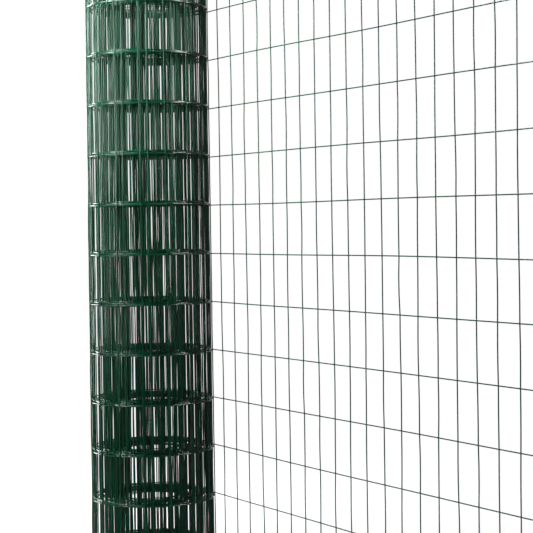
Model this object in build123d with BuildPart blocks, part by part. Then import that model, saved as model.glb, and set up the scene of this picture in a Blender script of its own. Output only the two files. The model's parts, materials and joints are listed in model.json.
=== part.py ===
from build123d import *
import math
import os

# Roll of welded wire mesh, standing on its end, with its last stretch unrolled.
# The origin is on the roll's axis at floor level. +Z is up the axis, and the
# unrolled end runs along +X from the back of the roll.

# Mesh
wire_diameter = 2.2
upright_spacing = 50.0
long_wire_spacing = 100.0
long_wire_count = 13
edge_stub = 3.0
wire_sides = 4

# Roll
roll_radius = 129.8
bore_radius = 53.0
turn_count = 24
outer_turn_slack = 0.4
groove_depth = 3.0
ridge_drop = 0.2

# Unrolled end
free_length = 1072.0

# Sizes that follow
mesh_thickness = 2 * wire_diameter
mesh_height = (long_wire_count - 1) * long_wire_spacing + 2 * edge_stub
step_height = mesh_thickness + outer_turn_slack
step_y = roll_radius - step_height
turn_pitch = (roll_radius - bore_radius - 2 * mesh_thickness) / (turn_count - 1)
long_wire_y = roll_radius - 1.5 * wire_diameter
upright_y = roll_radius - 0.5 * wire_diameter
last_upright_x = free_length - edge_stub
upright_count = math.floor((last_upright_x - wire_diameter) / upright_spacing) + 1
long_wire_turn = 180 / wire_sides
upright_turn = long_wire_turn + 90


# Wound roll: its outline has a step at the back, where the unrolled end leaves it.
with BuildPart() as wound_roll:
    with BuildSketch():
        with BuildLine():
            CenterArc((0, step_height / 4), roll_radius - step_height / 4, 90, 180)
            CenterArc((0, -step_height / 4), step_y + step_height / 4, 270, 180)
            Line((0, step_y), (0, roll_radius))
        make_face()
        Circle(bore_radius, mode=Mode.SUBTRACT)
    extrude(amount=mesh_height)

    # The gaps between the turns show as one spiral groove in each end, made of half
    # turns. Those on the left are turned about one centre and those on the right
    # about another, and the groove stops half a turn before the inner edge.
    left_side = Plane((0, turn_pitch / 4, 0), x_dir=(0, 1, 0), z_dir=(1, 0, 0))
    right_side = Plane((0, -turn_pitch / 4, 0), x_dir=(0, -1, 0), z_dir=(-1, 0, 0))
    left_edge = roll_radius - mesh_thickness - turn_pitch / 4
    right_edge = left_edge - turn_pitch / 2
    for side, outer_edge, groove_count in (
        (left_side, left_edge, turn_count - 1),
        (right_side, right_edge, turn_count - 2),
    ):
        inner_edge = outer_edge - groove_count * turn_pitch
        with BuildSketch(side):
            for end_z, inwards in ((0, 1), (mesh_height, -1)):
                points = [(outer_edge, end_z)]
                for groove in range(groove_count):
                    ridge = outer_edge - groove * turn_pitch
                    if groove > 0:
                        points.append((ridge, end_z + inwards * ridge_drop))
                    points.append((ridge - turn_pitch / 2, end_z + inwards * groove_depth))
                points.append((inner_edge, end_z))
                with BuildLine():
                    Polyline(*points, close=True)
                make_face()
        revolve(axis=Axis(side.origin, (0, 0, 1)), revolution_arc=180, mode=Mode.SUBTRACT)

wound_roll.part.label = "wound_roll"


# Unrolled end: the long wires butt against the step, and the uprights lie on their
# far side, as they lie on the outside of the roll.
with BuildPart() as free_end:
    with BuildSketch(Plane.YZ):
        with Locations((long_wire_y, mesh_height / 2)):
            with GridLocations(0, long_wire_spacing, 1, long_wire_count):
                RegularPolygon(wire_diameter / 2, wire_sides, major_radius=False, rotation=long_wire_turn)
    extrude(amount=free_length)

    with BuildSketch():
        for column in range(upright_count):
            with Locations((last_upright_x - column * upright_spacing, upright_y)):
                RegularPolygon(wire_diameter / 2, wire_sides, major_radius=False, rotation=upright_turn)
    extrude(amount=mesh_height)

free_end.part.label = "free_end"


os.makedirs("parts", exist_ok=True)
export_step(wound_roll.part, "parts/wound_roll.step")
export_step(free_end.part, "parts/free_end.step")
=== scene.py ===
import json
import math

import bpy
import numpy as np
from mathutils import Matrix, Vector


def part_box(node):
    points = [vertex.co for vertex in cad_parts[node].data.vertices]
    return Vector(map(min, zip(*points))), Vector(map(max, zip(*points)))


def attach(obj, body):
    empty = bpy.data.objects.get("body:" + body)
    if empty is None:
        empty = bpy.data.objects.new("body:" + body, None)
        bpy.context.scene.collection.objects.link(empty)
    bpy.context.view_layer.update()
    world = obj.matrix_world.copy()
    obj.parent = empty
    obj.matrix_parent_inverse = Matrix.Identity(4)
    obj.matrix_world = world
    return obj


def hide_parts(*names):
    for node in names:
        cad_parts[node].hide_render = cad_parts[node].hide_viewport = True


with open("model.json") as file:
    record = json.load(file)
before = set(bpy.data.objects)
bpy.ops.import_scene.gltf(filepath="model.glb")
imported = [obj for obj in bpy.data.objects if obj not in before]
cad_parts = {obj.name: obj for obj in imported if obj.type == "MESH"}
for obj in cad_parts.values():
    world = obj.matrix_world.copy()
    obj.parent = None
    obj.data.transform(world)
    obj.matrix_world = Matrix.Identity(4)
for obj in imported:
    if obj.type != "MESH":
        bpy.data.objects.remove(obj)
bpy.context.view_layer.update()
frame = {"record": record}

# Lengths are in metres. The roll stands round the z axis, and the unrolled end runs
# along x from the back of the roll.

# Sizes from the frame
roll_low, roll_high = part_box("wound_roll")
end_low, end_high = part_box("free_end")
mounts = {mount["name"]: mount for mount in frame["record"]["mounts"]}
BORE_RADIUS = mounts["bore"]["dims"]["r_mm"] / 1000
HEIGHT = roll_high[2] - roll_low[2]
BACK_Y = end_high[1]
WIRE = (end_high[1] - end_low[1]) / 2
FREE_LENGTH = end_high[0]

# The mesh: the long wires' middles lie a layer inside the plane of the welds, and the
# uprights' middles a layer outside it
ROW_SPACING = 0.100
UPRIGHT_SPACING = 0.050
EDGE_STUB = 0.003
ROW_COUNT = round((HEIGHT - 2 * EDGE_STUB) / ROW_SPACING) + 1
WELD_SINK = 0.00015
LAYER = WIRE / 2 - WELD_SINK
WELD_Y = BACK_Y - WIRE
LAST_UPRIGHT_X = FREE_LENGTH - EDGE_STUB

# The winding, from the bore outwards, with some room left between turns
WOUND_UPRIGHTS = 278
TURN_SAMPLES = 240
BORE_CLEARANCE = 0.00035
INMOST_RADIUS = BORE_RADIUS + BORE_CLEARANCE + WIRE / 2
FIRST_TURN_RISE = 1.6 * WIRE
ROOM = 0.000111
WIND_SEED = 256
OUTER_TURNS_FROM = 14
OUTER_WIND_SEED = 17827
EASED_SAMPLES = 5

# Over the roll's first stretch from its back, the uprights stand closer, by this much in all
BACK_CLOSING = 0.009
BACK_CLOSING_LENGTH = 0.25

# The roll is slightly wider at its foot, and its turns' ends aren't quite level
FOOT_SPREAD = 0.0015
END_SCATTER = 0.0042
END_SCATTER_LENGTH = 0.4
END_SEED = 1035

# How far the wires stray from straight ones
WIRE_SEED = 5
ROW_WAVE = 0.0005
UPRIGHT_SHIFT = 0.0006
UPRIGHT_WAVE = 0.0006
UPRIGHT_BOW = 0.00035

# The wires as modelled
SIDES = 8
ROLL_STEP = 0.0085
ROW_STEPS = 3
END_STEPS = 6
TIP_ANGLES = (0.35, 0.8, 1.2)

# The beads of coating round the crossings
BEAD_RADIUS = 0.0016
BEAD_HALF_DEPTH = 0.0013
BEAD_RINGS = 4
BEAD_SIDES = 6
BEAD_CAP_ANGLE = 0.25


# Shape of the rolled mesh

def smooth_noise(rng, wave_count, wave_length):
    """A random smooth function of a length, about one in size, made of waves about this long."""
    waves = rng.uniform(0.4, 1.6, wave_count) * 2 * math.pi / wave_length
    shifts = rng.uniform(0, 2 * math.pi, wave_count)
    sizes = rng.uniform(0.5, 1.0, wave_count)
    scale = math.sqrt(2 / (sizes**2).sum())

    def value(along):
        terms = sizes[:, None] * np.sin(np.outer(waves, np.atleast_1d(along)) + shifts[:, None])
        return scale * terms.sum(axis=0)

    return value


def pulled_tight(angles, radii):
    """Radii of a wire pulled tight round posts that stand at these angles and radii."""
    x = radii * np.cos(angles)
    y = radii * np.sin(angles)
    kept = [0]
    for index in range(1, len(angles)):
        while len(kept) > 1:
            before, last = kept[-2:]
            ahead = (x[index] - x[last], y[index] - y[last])
            if (x[last] - x[before]) * ahead[1] > (y[last] - y[before]) * ahead[0]:
                break
            kept.pop()
        kept.append(index)
    tight = np.array(radii, dtype=float)
    for start, end in zip(kept, kept[1:]):
        run = slice(start, end + 1)
        run_x = x[end] - x[start]
        run_y = y[end] - y[start]
        across = x[start] * run_y - y[start] * run_x
        tight[run] = across / (np.cos(angles[run]) * run_y - np.sin(angles[run]) * run_x)
    return tight


def wind_mesh(length):
    """Radius and length of the long wires at even steps of angle, wound from the bore outwards.

    Each turn is pulled tight over the turn beneath, whose uprights stand out as posts.
    """
    step = 2 * math.pi / TURN_SAMPLES
    rng = np.random.default_rng(WIND_SEED)
    radii = INMOST_RADIUS + FIRST_TURN_RISE * np.arange(TURN_SAMPLES + 1) / TURN_SAMPLES
    lengths = np.zeros(1)
    while lengths[-1] < length:
        new = len(lengths)
        if new == OUTER_TURNS_FROM * TURN_SAMPLES + 1:
            rng = np.random.default_rng(OUTER_WIND_SEED)
        runs = np.hypot((radii[new:] + radii[new - 1:-1]) / 2 * step, np.diff(radii[new - 1:]))
        lengths = np.concatenate([lengths, lengths[-1] + np.cumsum(runs)])
        under = np.arange(len(radii) - 1 - TURN_SAMPLES, len(radii))
        posts = radii[under] + WIRE + ROOM * rng.uniform(0, 2)
        crossed = np.ceil((lengths[under] - EDGE_STUB) / UPRIGHT_SPACING)
        posts[1:][np.diff(crossed) > 0] += 2 * LAYER
        posts[0] = radii[-1]
        tight = pulled_tight(step * (under + TURN_SAMPLES), posts)
        radii = np.concatenate([radii, tight[1:]])
    radii = radii[:len(lengths)]
    ease = np.ones(EASED_SAMPLES) / EASED_SAMPLES
    return np.convolve(np.pad(radii, EASED_SAMPLES // 2, mode="edge"), ease, "valid"), lengths


# The wound length, from the cut end at the bore to the roll's back, is a stub, the spacings
# between the roll's uprights, and the rest of the spacing that the back falls in, less
# what the closing takes up.
MEETING_GAP = UPRIGHT_SPACING - LAST_UPRIGHT_X % UPRIGHT_SPACING - BACK_CLOSING
WOUND_LENGTH = EDGE_STUB + (WOUND_UPRIGHTS - 1) * UPRIGHT_SPACING + MEETING_GAP
wound_radii, wound_lengths = wind_mesh(WOUND_LENGTH)
wound_angles = np.arange(len(wound_radii)) * 2 * math.pi / TURN_SAMPLES
back_angle = np.interp(WOUND_LENGTH, wound_lengths, wound_angles)

# The radii are stretched a little, so that the back of the roll meets the unrolled end
inmost_radius = wound_radii[0]
back_radius = np.interp(WOUND_LENGTH, wound_lengths, wound_radii)
stretch = (WELD_Y - LAYER - inmost_radius) / (back_radius - inmost_radius)
wound_radii = inmost_radius + (wound_radii - inmost_radius) * stretch

end_wander = smooth_noise(np.random.default_rng(END_SEED), wave_count=8, wave_length=0.9)


def mesh_place(arc, height, layer):
    """Point and outward direction on the mesh, at a length along it from the roll's back.

    Negative lengths are on the unrolled end, and layer is measured outwards from the welds.
    """
    arc = np.asarray(arc, dtype=float)
    wound = np.maximum(arc, 0)
    angle = back_angle - np.interp(WOUND_LENGTH - wound, wound_lengths, wound_angles)
    radius = np.interp(WOUND_LENGTH - wound, wound_lengths, wound_radii) + LAYER
    share = (radius - inmost_radius) / (WELD_Y - inmost_radius)
    spread = FOOT_SPREAD * (HEIGHT / 2 - height) / (HEIGHT / 2)
    radius = radius + spread * share + layer
    x = -np.sin(angle) * radius + np.maximum(-arc, 0)
    y = np.cos(angle) * radius - spread
    scatter = END_SCATTER * np.clip(wound / END_SCATTER_LENGTH, 0, 1)
    scatter = scatter * np.clip(1 + end_wander(wound), 0, 2)
    outward = np.stack([-np.sin(angle), np.cos(angle), np.zeros_like(angle)], axis=-1)
    return np.stack([x, y, height + scatter], axis=-1), outward


# Tubes

class MeshParts:
    """Vertices and faces of many closed tubes, gathered into one mesh."""

    def __init__(self):
        self.verts = []
        self.quads = []
        self.caps = []
        self.count = 0

    def add_rings(self, rings):
        """rings is an array of rings of points, each ring the same way round."""
        ring_count, sides = rings.shape[:2]
        self.verts.append(rings.reshape(-1, 3))
        ring = np.arange(ring_count - 1)[:, None] * sides
        side = np.arange(sides)[None, :]
        following = (side + 1) % sides
        quads = np.stack(
            [ring + side, ring + following, ring + sides + following, ring + sides + side], axis=-1
        )
        self.quads.append(quads.reshape(-1, 4) + self.count)
        self.caps.append(self.count + np.arange(sides)[::-1])
        self.caps.append(self.count + (ring_count - 1) * sides + np.arange(sides))
        self.count += ring_count * sides

    def build(self, name, material):
        verts = np.concatenate(self.verts)
        faces = [*np.concatenate(self.quads).tolist(), *(cap.tolist() for cap in self.caps)]
        mesh = bpy.data.meshes.new(name)
        mesh.from_pydata(verts.tolist(), [], faces)
        mesh.polygons.foreach_set("use_smooth", np.ones(len(faces), dtype=bool))
        mesh.materials.append(material)
        mesh.update()
        piece = bpy.data.objects.new(name, mesh)
        bpy.context.scene.collection.objects.link(piece)
        return piece


def tube_rings(points, across, round_start=True, round_end=True):
    """Rings of a wire along points. across is a direction about square to the wire."""
    along = np.gradient(points, axis=0)
    along /= np.linalg.norm(along, axis=1, keepdims=True)
    across = across - (across * along).sum(axis=1, keepdims=True) * along
    across /= np.linalg.norm(across, axis=1, keepdims=True)
    other = np.cross(along, across)
    turn = (np.arange(SIDES) * 2 * math.pi / SIDES)[:, None]
    rims = across[:, None] * np.cos(turn) + other[:, None] * np.sin(turn)
    rings = points[:, None] + WIRE / 2 * rims

    # A rounded tip of several rings takes the place of the first or last ring
    tip_angles = np.array(TIP_ANGLES)[:, None, None]
    tip_steps = WIRE / 2 * (1 - np.cos(tip_angles))
    tip_radii = WIRE / 2 * np.sin(tip_angles)
    if round_start:
        tip = points[0] + tip_steps * along[0] + tip_radii * rims[0]
        rings = np.concatenate([tip, rings[1:]])
    if round_end:
        tip = points[-1] - tip_steps * along[-1] + tip_radii * rims[-1]
        rings = np.concatenate([rings[:-1], tip[::-1]])
    return rings


# Where the wires are

row_heights = EDGE_STUB + ROW_SPACING * np.arange(ROW_COUNT)
end_uprights = int(LAST_UPRIGHT_X / UPRIGHT_SPACING) + 1
upright_total = end_uprights + WOUND_UPRIGHTS
upright_arcs = -LAST_UPRIGHT_X + UPRIGHT_SPACING * np.arange(upright_total)
upright_arcs -= BACK_CLOSING * np.clip(upright_arcs / BACK_CLOSING_LENGTH, 0, 1)

wire_rng = np.random.default_rng(WIRE_SEED)
row_waves = [smooth_noise(wire_rng, wave_count=6, wave_length=0.9) for _ in row_heights]
upright_shifts = wire_rng.normal(0, UPRIGHT_SHIFT, upright_total)
upright_waves = [smooth_noise(wire_rng, wave_count=4, wave_length=0.8) for _ in upright_arcs]
upright_bows = wire_rng.normal(0, UPRIGHT_BOW, (upright_total, ROW_COUNT, 2))


def row_height(row, arc):
    """Height of a long wire along the mesh, with the slight wander of the real ones."""
    return row_heights[row] + ROW_WAVE * row_waves[row](arc)


def upright_path(index):
    """Points of an upright from its lower tip to its upper one, and its outward direction."""
    steps = np.arange(ROW_STEPS * (ROW_COUNT - 1) + 1)
    heights = EDGE_STUB + ROW_SPACING * steps / ROW_STEPS
    cell = np.minimum(steps // ROW_STEPS, ROW_COUNT - 2)
    bow = np.sin(math.pi * (steps % ROW_STEPS) / ROW_STEPS)
    sideways = upright_shifts[index] + UPRIGHT_WAVE * upright_waves[index](heights)
    sideways = sideways + upright_bows[index, cell, 0] * bow
    outwards = upright_bows[index, cell, 1] * bow

    # The stubs go straight on from the first and last rows
    heights = np.concatenate([[0.0], heights, [HEIGHT]])
    sideways = np.concatenate([sideways[:1], sideways, sideways[-1:]])
    outwards = np.concatenate([[0.0], outwards, [0.0]])
    return mesh_place(upright_arcs[index] + sideways, heights, LAYER + outwards)


def add_uprights(parts, indices):
    for index in indices:
        points, outward = upright_path(index)
        parts.add_rings(tube_rings(points, outward))


def add_long_wire(parts, row, arcs, round_start=False, round_end=False):
    points, outward = mesh_place(arcs, row_height(row, arcs), -LAYER)
    parts.add_rings(tube_rings(points, outward, round_start, round_end))


def add_beads(parts, indices):
    """The bead of coating round each crossing of these uprights."""
    lat = np.linspace(BEAD_CAP_ANGLE, math.pi - BEAD_CAP_ANGLE, BEAD_RINGS)[:, None, None]
    lon = (np.arange(BEAD_SIDES) * 2 * math.pi / BEAD_SIDES)[:, None]
    up = np.array([0.0, 0.0, 1.0])
    for index in indices:
        arc = upright_arcs[index:index + 1]
        for row in range(ROW_COUNT):
            points, outward = mesh_place(arc, row_height(row, arc), 0.0)
            out = outward[0]
            along = np.array([out[1], -out[0], 0.0])
            rim = BEAD_RADIUS * np.sin(lat) * (np.cos(lon) * along + np.sin(lon) * up)
            parts.add_rings(points[0] + rim + BEAD_HALF_DEPTH * np.cos(lat) * out)


# Material

DARK_GREEN = (0.0003, 0.046, 0.020, 1)
LIGHT_GREEN = (0.001, 0.075, 0.035, 1)


def coating_material():
    """Green plastic coat over the wire: deep green, smooth, a little uneven in tone and polish."""
    material = bpy.data.materials.new("green_coating")
    material.use_nodes = True
    nodes = material.node_tree.nodes
    links = material.node_tree.links
    shader = nodes["Principled BSDF"]
    shader.inputs["Specular IOR Level"].default_value = 0.07

    place = nodes.new("ShaderNodeTexCoord")
    patches = nodes.new("ShaderNodeTexNoise")
    patches.inputs["Scale"].default_value = 30
    patches.inputs["Detail"].default_value = 4
    links.new(place.outputs["Object"], patches.inputs["Vector"])

    tones = nodes.new("ShaderNodeValToRGB")
    tones.color_ramp.elements[0].position = 0.3
    tones.color_ramp.elements[0].color = DARK_GREEN
    tones.color_ramp.elements[1].position = 0.7
    tones.color_ramp.elements[1].color = LIGHT_GREEN
    links.new(patches.outputs["Fac"], tones.inputs["Fac"])
    links.new(tones.outputs["Color"], shader.inputs["Base Color"])

    polish = nodes.new("ShaderNodeMapRange")
    polish.inputs["To Min"].default_value = 0.12
    polish.inputs["To Max"].default_value = 0.2
    links.new(patches.outputs["Fac"], polish.inputs["Value"])
    links.new(polish.outputs["Result"], shader.inputs["Roughness"])
    return material


# Pieces

coating = coating_material()


def finish_piece(parts, name, node):
    piece = parts.build(name, coating)
    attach(piece, "root")
    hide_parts(node)


# The roll's long wires, in two halves of its height
roll_arcs = np.linspace(0, WOUND_LENGTH, int(WOUND_LENGTH / ROLL_STEP))
half = ROW_COUNT // 2
for level, rows in (("lower", range(half)), ("upper", range(half, ROW_COUNT))):
    parts = MeshParts()
    for row in rows:
        add_long_wire(parts, row, roll_arcs, round_end=True)
    finish_piece(parts, "roll_long_wires_" + level, "wound_roll")

# The roll's uprights and beads, in two halves of its length
first_inner = end_uprights + WOUND_UPRIGHTS // 2
outer_uprights = range(end_uprights, first_inner)
inner_uprights = range(first_inner, upright_total)
for turns, indices in (("outer", outer_uprights), ("inner", inner_uprights)):
    parts = MeshParts()
    add_uprights(parts, indices)
    finish_piece(parts, "roll_uprights_" + turns, "wound_roll")
    parts = MeshParts()
    add_beads(parts, indices)
    finish_piece(parts, "roll_welds_" + turns, "wound_roll")

# The unrolled end
end_arcs = np.linspace(-FREE_LENGTH, 0, int(FREE_LENGTH / UPRIGHT_SPACING * END_STEPS))
parts = MeshParts()
for row in range(ROW_COUNT):
    add_long_wire(parts, row, end_arcs, round_start=True)
finish_piece(parts, "end_long_wires", "free_end")

parts = MeshParts()
add_uprights(parts, range(end_uprights))
finish_piece(parts, "end_uprights", "free_end")

parts = MeshParts()
add_beads(parts, range(end_uprights))
finish_piece(parts, "end_welds", "free_end")


# Camera, at the photograph's place

IMAGE_WIDTH = 533
FOCAL_PIXELS = 1457.0
SENSOR = 36.0
CAMERA_PLACE = (2.6558, -1.4053, 0.6649)
CAMERA_YAW = math.radians(-57.552)
CAMERA_PITCH = math.radians(-1.719)
CAMERA_ROLL = math.radians(0.855)


def set_pose(thing, place, right, up, back):
    """Put a camera or lamp at a place, with these directions as its own x, y and z."""
    turn = Matrix(np.stack([right, up, back], axis=1).tolist())
    thing.matrix_world = Matrix.Translation(place) @ turn.to_4x4()
    bpy.context.scene.collection.objects.link(thing)


def add_camera():
    forward = np.array([
        math.sin(CAMERA_YAW) * math.cos(CAMERA_PITCH),
        math.cos(CAMERA_YAW) * math.cos(CAMERA_PITCH),
        math.sin(CAMERA_PITCH),
    ])
    level = np.array([math.cos(CAMERA_YAW), -math.sin(CAMERA_YAW), 0.0])
    down = np.cross(forward, level)
    right = math.cos(CAMERA_ROLL) * level + math.sin(CAMERA_ROLL) * down
    image_down = -math.sin(CAMERA_ROLL) * level + math.cos(CAMERA_ROLL) * down
    camera = bpy.data.objects.new("camera", bpy.data.cameras.new("camera"))
    camera.data.sensor_width = SENSOR
    camera.data.lens = FOCAL_PIXELS * SENSOR / IMAGE_WIDTH
    camera.data.clip_end = 100
    set_pose(camera, CAMERA_PLACE, right, -image_down, -forward)
    bpy.context.scene.camera = camera


# Floor and world

FLOOR_REACH = 30.0
FLOOR_LIFT = 0.68
WORLD_LIGHT = 0.02

# The distances from the roll's axis between which the floor turns white
FLOOR_FADES_FROM = 0.5
FLOOR_FADES_TO = 1.4


def combined(nodes, links, operation, first, second):
    """Output of a math node that works on two other outputs."""
    node = nodes.new("ShaderNodeMath")
    node.operation = operation
    links.new(first, node.inputs[0])
    links.new(second, node.inputs[1])
    return node.outputs["Value"]


def backdrop_seen(nodes, links):
    """One where the camera sees the backdrop, straight, mirrored or through glass, else nought."""
    rays = nodes.new("ShaderNodeLightPath").outputs
    either = combined(nodes, links, "MAXIMUM", rays["Is Camera Ray"], rays["Is Glossy Ray"])
    return combined(nodes, links, "MAXIMUM", either, rays["Is Transmission Ray"])


def floor_material():
    """Pale near the object, where its shadow shows, and fading to white further off.

    The brightness that it gives off is only seen, and lights nothing.
    """
    material = bpy.data.materials.new("floor")
    material.use_nodes = True
    nodes = material.node_tree.nodes
    links = material.node_tree.links
    shader = nodes["Principled BSDF"]
    shader.inputs["Base Color"].default_value = (0.35, 0.35, 0.35, 1)
    shader.inputs["Roughness"].default_value = 0.9
    shader.inputs["Specular IOR Level"].default_value = 0.1

    seen = backdrop_seen(nodes, links)
    strength = nodes.new("ShaderNodeMath")
    strength.operation = "MULTIPLY"
    strength.inputs[1].default_value = FLOOR_LIFT
    links.new(seen, strength.inputs[0])
    lift = nodes.new("ShaderNodeEmission")
    links.new(strength.outputs["Value"], lift.inputs["Strength"])
    near = nodes.new("ShaderNodeAddShader")
    links.new(shader.outputs["BSDF"], near.inputs[0])
    links.new(lift.outputs["Emission"], near.inputs[1])
    far = nodes.new("ShaderNodeEmission")

    place = nodes.new("ShaderNodeTexCoord")
    away = nodes.new("ShaderNodeVectorMath")
    away.operation = "LENGTH"
    links.new(place.outputs["Object"], away.inputs[0])
    fade = nodes.new("ShaderNodeMapRange")
    fade.inputs["From Min"].default_value = FLOOR_FADES_FROM
    fade.inputs["From Max"].default_value = FLOOR_FADES_TO
    links.new(away.outputs["Value"], fade.inputs["Value"])
    seen_fade = combined(nodes, links, "MULTIPLY", seen, fade.outputs["Result"])

    mix = nodes.new("ShaderNodeMixShader")
    links.new(seen_fade, mix.inputs["Fac"])
    links.new(near.outputs["Shader"], mix.inputs[1])
    links.new(far.outputs["Emission"], mix.inputs[2])
    links.new(mix.outputs["Shader"], nodes["Material Output"].inputs["Surface"])
    return material


def add_floor():
    mesh = bpy.data.meshes.new("floor")
    corners = [(-FLOOR_REACH, -FLOOR_REACH, 0), (FLOOR_REACH, -FLOOR_REACH, 0)]
    corners += [(FLOOR_REACH, FLOOR_REACH, 0), (-FLOOR_REACH, FLOOR_REACH, 0)]
    mesh.from_pydata(corners, [], [(0, 1, 2, 3)])
    mesh.materials.append(floor_material())
    floor = bpy.data.objects.new("floor", mesh)
    bpy.context.scene.collection.objects.link(floor)


def set_world():
    """White where the camera sees it, and dim as a light."""
    world = bpy.data.worlds.new("world")
    world.use_nodes = True
    nodes = world.node_tree.nodes
    links = world.node_tree.links
    nodes.clear()
    light = nodes.new("ShaderNodeBackground")
    light.inputs["Color"].default_value = (1, 1, 1, 1)
    light.inputs["Strength"].default_value = WORLD_LIGHT
    white = nodes.new("ShaderNodeBackground")
    white.inputs["Color"].default_value = (1, 1, 1, 1)
    white.inputs["Strength"].default_value = 1.0
    mix = nodes.new("ShaderNodeMixShader")
    output = nodes.new("ShaderNodeOutputWorld")
    links.new(backdrop_seen(nodes, links), mix.inputs["Fac"])
    links.new(light.outputs["Background"], mix.inputs[1])
    links.new(white.outputs["Background"], mix.inputs[2])
    links.new(mix.outputs["Shader"], output.inputs["Surface"])
    bpy.context.scene.world = world


# Lamps

def add_lamp(name, place, size, power, aim=HEIGHT / 2, spread=180, gloss_only=False):
    """A soft panel that faces the roll's axis at the height aim, with its spread in degrees.

    One that is for gloss only makes highlights and lights nothing else.
    """
    lamp = bpy.data.lights.new(name, "AREA")
    lamp.energy = power
    lamp.shape = "RECTANGLE"
    lamp.size, lamp.size_y = size
    lamp.spread = math.radians(spread)
    panel = bpy.data.objects.new(name, lamp)
    panel.visible_diffuse = not gloss_only
    away = np.array(place) - np.array([0.0, 0.0, aim])
    away /= np.linalg.norm(away)
    side = np.cross([0, 0, 1], away)
    side /= np.linalg.norm(side)
    set_pose(panel, place, side, np.cross(away, side), away)


add_camera()
add_floor()
set_world()
add_lamp("left", place=(-2.9, -0.9, 1.2), size=(0.6, 2.2), power=190)
add_lamp("left_sheen", place=(-2.9, -0.9, 1.2), size=(0.6, 2.2), power=350, gloss_only=True)
add_lamp("sheen", place=(0.2, -1.5, 1.3), size=(1.2, 0.9), power=190, aim=1.3, gloss_only=True)
add_lamp("upper", place=(0.35, -1.3, 1.35), size=(0.3, 0.3), power=7, aim=1.2, spread=70)
add_lamp("top", place=(-0.5, -1.0, 2.4), size=(0.4, 0.4), power=36)
add_lamp("fill", place=(0.1, -2.4, 0.8), size=(0.3, 1.0), power=26)
add_lamp("overhead", place=(-0.35, 0.19, 2.9), size=(4.5, 0.6), power=1700, gloss_only=True)

bpy.context.scene.view_settings.view_transform = "Standard"
